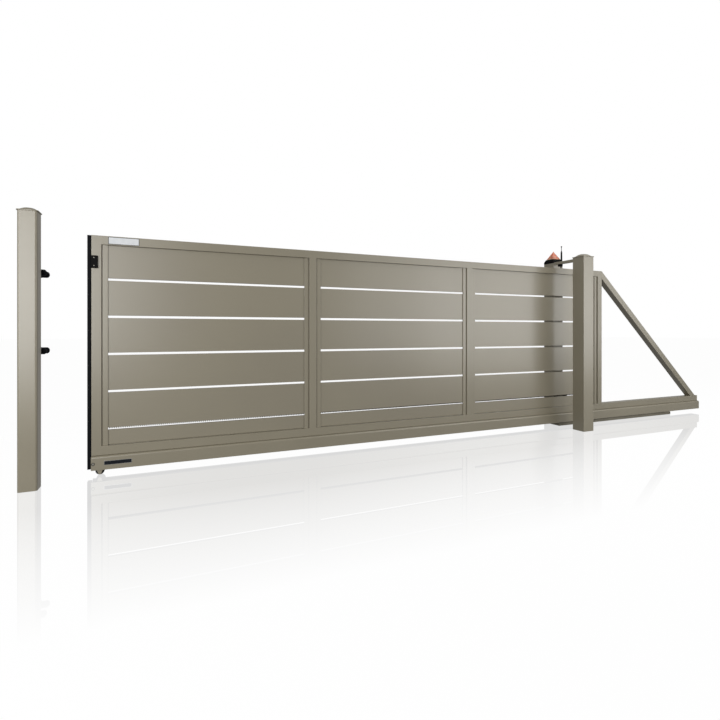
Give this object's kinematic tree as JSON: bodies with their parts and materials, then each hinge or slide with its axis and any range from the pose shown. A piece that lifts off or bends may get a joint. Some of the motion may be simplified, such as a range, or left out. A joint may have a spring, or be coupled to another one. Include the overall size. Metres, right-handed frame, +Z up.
{
  "type": "sliding driveway gate",
  "caption": "Cantilever sliding driveway gate with a flat-board leaf, a carrying rail with a braced tail, a rack and pinion drive, a guide portal and a catch post.",
  "frame": {"origin": "middle of the foot face of the front guide post, on the ground", "axes": "+X along the gate from the catch post towards the tail, +Y from the street side towards the drive side, +Z up"},
  "size_m": [6.213, 0.508, 1.721],
  "materials": {
    "frame_paint": "satin powder coat",
    "black_plastic": "matt",
    "black_rubber": "matt",
    "steel": "satin",
    "nylon": "satin",
    "bare_aluminium": "mill",
    "amber_lens": "translucent amber"
  },
  "bodies": {
    "posts": {"guide_post": "frame_paint", "guide_post_cap": "frame_paint", "catch_post": "frame_paint", "catch_post_cap": "frame_paint", "drive_post": "frame_paint", "bridge_bar": "frame_paint", "guide_roller_carrier": "black_plastic", "drive_housing": "black_plastic", "base_tray": "frame_paint", "carriages": "steel", "carriage_wheels": "nylon", "catch_fork_upper": "black_plastic", "catch_fork_lower": "black_plastic", "lamp_base": "black_plastic", "lamp_lens": "amber_lens", "antenna": "black_plastic"},
    "leaf": {"bottom_rail": "frame_paint", "top_rail": "frame_paint", "top_rail_guides": "frame_paint", "leading_stile": "frame_paint", "mid_stile_1": "frame_paint", "mid_stile_2": "frame_paint", "end_stile": "frame_paint", "infill_bay_1": "frame_paint", "infill_bay_2": "frame_paint", "infill_bay_3": "frame_paint", "brace": "frame_paint", "carrying_rail": "frame_paint", "rail_end_cap": "frame_paint", "tail_rail_cap": "frame_paint", "edge_strip_holder": "bare_aluminium", "edge_strip": "black_rubber", "edge_sensor_box": "black_plastic", "rack": "steel", "end_roller_bracket": "frame_paint"},
    "pinion_body": {"pinion": "steel"},
    "end_roller_body": {"end_roller": "black_plastic"},
    "guide_roller_body": {"guide_roller": "nylon"}
  },
  "joints": [
    {"name": "leaf_slide", "type": "slide", "parent": "posts", "child": "leaf", "axis": [1, 0, 0], "range_m": [-0.238, 3.74]},
    {"name": "pinion_spin", "type": "hinge", "parent": "posts", "child": "pinion_body", "pos_m": [0.03, 0.29, 0.2395], "axis": [0, 1, 0], "continuous": true},
    {"name": "end_roller_spin", "type": "hinge", "parent": "leaf", "child": "end_roller_body", "pos_m": [-3.839, 0.243, 0.03], "axis": [0, 1, 0], "continuous": true},
    {"name": "guide_roller_spin", "type": "hinge", "parent": "posts", "child": "guide_roller_body", "pos_m": [-0.005, 0.246, 1.47], "axis": [0, 0, 1], "continuous": true}
  ],
  "couplings": [
    {"joint": "pinion_spin", "follows": "leaf_slide", "rad_per_m": 27.778}
  ]
}
